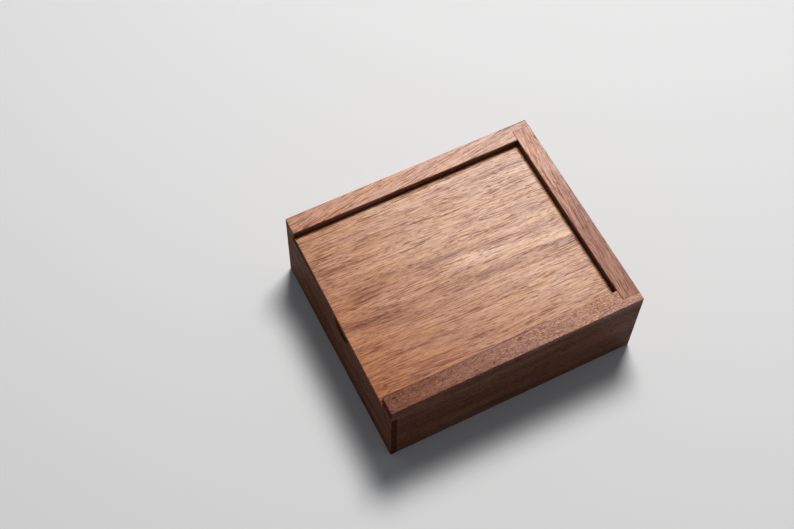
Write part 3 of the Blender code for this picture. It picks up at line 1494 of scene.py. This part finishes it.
@dataclass(frozen=True)
class Lamp:
    """A soft rectangular lamp that looks at the box.

    Attributes:
        name: the lamp's name.
        place: its middle.
        size: its width and height.
        power: its power in watts.
        aim: the point that it looks at.
        lights: whether it lights matt surfaces.
        shines: whether it shows as a sheen on polished ones.
    """

    name: str
    place: Place
    size: Point
    power: float
    aim: Place = (0.0, 0.0, 0.04)
    lights: bool = True
    shines: bool = True

    def make(self) -> bpy.types.Object:
        """Hang the lamp.

        Returns:
            The lamp.
        """
        data = bpy.data.lights.new(self.name, "AREA")
        data.shape = "RECTANGLE"
        data.size, data.size_y = self.size
        data.energy = self.power
        lamp = add_object(self.name, data)
        lamp.visible_diffuse = self.lights
        lamp.visible_glossy = self.shines
        lamp.location = self.place
        lamp.rotation_mode = "QUATERNION"
        lamp.rotation_quaternion = (Vector(self.aim) - Vector(self.place)).to_track_quat("-Z", "Y")
        return lamp


@dataclass(frozen=True)
class Studio:
    """A pale floor under soft light.

    Attributes:
        floor_half: half the floor's width.
        floor_drop: how far it lies below the box's foot.
        floor_pale, floor_bounce: its colour where it is looked at, and in the light that it throws back.
        sky, sky_strength: colour and strength of the light from all round.
        sky_seen: what the camera sees past the floor.
        lamps: the lamps.
    """

    floor_half: float = 4.0
    floor_drop: float = 0.0002
    floor_pale: Colour = (0.76, 0.75, 0.74)
    floor_bounce: Colour = (0.20, 0.19, 0.18)
    sky: Colour = (0.86, 0.92, 1.0)
    sky_strength: float = 0.16
    sky_seen: Colour = (0.80, 0.79, 0.78)
    lamps: tuple[Lamp, ...] = (
        Lamp("key_lamp", (0.48, 0.57, 1.60), (0.60, 0.52), 28.5, shines=False),
        Lamp("sheen_lamp", (0.60, 0.68, 1.05), (0.45, 0.40), 22.0, lights=False),
    )

    def make(self) -> None:
        """Lay the floor, hang the lamps and light the sky."""
        self.make_floor()
        self.make_sky()
        for lamp in self.lamps:
            lamp.make()

    @staticmethod
    def seen_directly(tree: Tree) -> Socket:
        """Tell what is looked at from the light that bounces.

        Args:
            tree: the tree that the nodes join.

        Returns:
            1 for the camera, a mirror image or clear glass, and 0 for bounced light.
        """
        path = tree.node("LightPath")
        direct = tree.sum("MAXIMUM", path.outputs["Is Camera Ray"], path.outputs["Is Glossy Ray"])
        return tree.sum("MAXIMUM", direct, path.outputs["Is Transmission Ray"])

    def make_floor(self) -> bpy.types.Object:
        """Lay the pale floor.

        Returns:
            The floor.
        """
        plane = bmesh.new()
        bmesh.ops.create_grid(plane, x_segments=1, y_segments=1, size=self.floor_half)
        bmesh.ops.translate(plane, vec=Vector((0.0, 0.0, -self.floor_drop)), verts=plane.verts)
        floor = add_mesh("floor", plane)
        tree = Tree(bpy.data.materials.new("floor_paper"))
        shader = tree.node("BsdfDiffuse")
        colour = tree.blend(self.seen_directly(tree), self.floor_bounce, self.floor_pale)
        tree.feed(shader.inputs["Color"], colour)
        tree.feed(tree.node("OutputMaterial").inputs["Surface"], shader.outputs[0])
        floor.data.materials.append(tree.owner)
        return floor

    def make_sky(self) -> None:
        """Give the world a soft even light, and a pale look where the camera sees it."""
        tree = Tree(bpy.data.worlds.new("studio_sky"))
        light = tree.node("Background")
        tree.feed(light.inputs["Color"], self.sky)
        tree.feed(light.inputs["Strength"], self.sky_strength)
        seen = tree.node("Background")
        tree.feed(seen.inputs["Color"], self.sky_seen)
        mix = tree.node("MixShader")
        tree.feed(mix.inputs[0], tree.node("LightPath").outputs["Is Camera Ray"])
        tree.feed(mix.inputs[1], light.outputs[0])
        tree.feed(mix.inputs[2], seen.outputs[0])
        tree.feed(tree.node("OutputWorld").inputs["Surface"], mix.outputs[0])
        bpy.context.scene.world = tree.owner


# The woods of the six boards


LID_WALNUT = Walnut(
    name="lid_walnut",
    grain=Grain.ALONG_LENGTH,
    pale=(0.80, 0.53, 0.362),
    middle=(0.645, 0.362, 0.22),
    dark=(0.33, 0.145, 0.08),
    tilt=math.radians(1.2),
    pith_mm=(-55.0, -80.0),
    rings=Layer(150.0, 9.0, 0.36),
    pores=0.75,
    bands=(
        Band((48.0, -5.0), (75.0, 6.0), 0.36, -0.13),
        Band((-52.0, -4.5), (24.0, 4.0), 0.22, -0.10),
        Band((0.0, -13.5), (130.0, 5.5), -0.24, -0.02),
        Band((-65.0, 5.0), (18.0, 5.5), -0.22),
        Band((-14.0, 7.5), (30.0, 4.0), -0.20),
        Band((-38.0, 42.0), (26.0, 2.6), -0.22),
        Band((-75.0, 35.5), (18.0, 6.0), 0.14),
        Band((-46.0, -49.5), (22.0, 5.5), 0.14),
        Band((-64.0, -19.0), (30.0, 7.0), -0.22, -0.06),
        Band((44.0, 23.0), (48.0, 9.0), -0.13),
        Band((62.0, 58.0), (40.0, 9.0), -0.13),
        Band((15.0, -45.0), (60.0, 20.0), 0.06),
    ),
    drift=Drift((-75.0, -55.0, 0.0), (0.0, 20.0, 0.0), (0.75, 0.54, 0.42), (1.0, 1.0, 1.0)),
    seed=1.0,
)
FRONT_WALNUT = Walnut(
    name="front_walnut",
    grain=Grain.ALONG_LENGTH,
    pale=(0.48, 0.245, 0.165),
    middle=(0.295, 0.128, 0.081),
    dark=(0.13, 0.044, 0.029),
    pith_mm=(-73.0, -175.0),
    rings=Layer(110.0, 8.0, 0.9),
    ground=(Layer(60.0, 6.0, 0.3), Layer(8.0, 1.5, 0.4), Layer(1.9, 0.6, 0.8), Layer(1.0, 0.38, 0.8)),
    lines=(Layer(10.0, 1.3, 0.5), Layer(3.0, 0.7, 1.0)),
    bands=(Band((-90.0, -73.0), (26.0, 60.0), -0.10),),
    roughness=0.46,
    gloss=0.04,
    # Painted sheen: the rail's top grows paler and whiter towards the right end, up to two to three times
    # the front face's colour
    drift=Drift((-60.0, 0.0, 66.0), (-59.43, 0.0, 74.3), (0.92, 0.90, 0.91), (2.02, 2.62, 3.05)),
    seed=5.0,
)
BACK_WALNUT = Walnut(
    name="back_walnut",
    grain=Grain.ALONG_LENGTH,
    pale=(0.82, 0.48, 0.33),
    middle=(0.62, 0.325, 0.21),
    dark=(0.31, 0.135, 0.085),
    tilt=math.radians(-9.0),
    pith_mm=(40.0, -60.0),
    rings=Layer(150.0, 9.0, 0.5),
    bands=(
        Band((-48.0, 72.0), (48.0, 70.0), 0.14),
        Band((-81.0, 72.0), (24.0, 70.0), -0.24),
    ),
    drift=Drift((20.0, 0.0, 0.0), (85.0, 0.0, 0.0), (1.0, 1.0, 1.0), (0.80, 0.74, 0.60)),
    seed=9.0,
)
RIGHT_WALNUT = Walnut(
    name="right_walnut",
    grain=Grain.ALONG_WIDTH,
    pale=(0.550, 0.283, 0.183),
    middle=(0.412, 0.192, 0.124),
    dark=(0.195, 0.075, 0.053),
    tilt=math.radians(3.5),
    pith_mm=(120.0, -50.0),
    rings=Layer(150.0, 7.0, 0.35),
    roughness=0.34,
    gloss=0.11,
    drift=Drift((-10.0, 0.0, 0.0), (60.0, 0.0, 0.0), (0.98, 0.985, 1.04), (1.60, 1.88, 1.98)),
    seed=13.0,
)
LEFT_WALNUT = Walnut(
    name="left_walnut",
    grain=Grain.ALONG_WIDTH,
    pale=(0.40, 0.20, 0.13),
    middle=(0.25, 0.105, 0.066),
    dark=(0.12, 0.045, 0.028),
    pith_mm=(100.0, -30.0),
    roughness=0.53,
    gloss=0.03,
    seed=17.0,
)
BOTTOM_WALNUT = Walnut(
    name="bottom_walnut",
    grain=Grain.ALONG_LENGTH,
    pale=(0.48, 0.24, 0.145),
    middle=(0.34, 0.150, 0.088),
    dark=(0.16, 0.058, 0.036),
    pith_mm=(5.0, -45.0),
    roughness=0.38,
    gloss=0.07,
    seed=23.0,
)


def main() -> None:
    """Build the box's six boards, then the stage, the lamps and the camera."""
    logging.basicConfig(level=logging.INFO, format="%(message)s")
    bpy.context.scene.view_settings.view_transform = "Standard"
    case = CaseSizes.of_frame()
    boards = [
        LongBoard(case, "front_board", "front_wall", "case", FRONT_WALNUT, Side.FRONT),
        LongBoard(case, "back_board", "back_wall", "case", BACK_WALNUT, Side.BACK),
        RightWall(case, "right_end", "right_wall", "case", RIGHT_WALNUT),
        LeftWall(case, "left_end", "left_wall", "case", LEFT_WALNUT),
        BottomPanel(case, "bottom_sheet", "bottom_panel", "case", BOTTOM_WALNUT),
        SlidingLid(case, "sliding_lid", "lid", "lid", LID_WALNUT),
    ]
    for board in boards:
        board.build()
    Studio().make()
    Viewpoint().make()


if __name__ == "__main__":
    main()
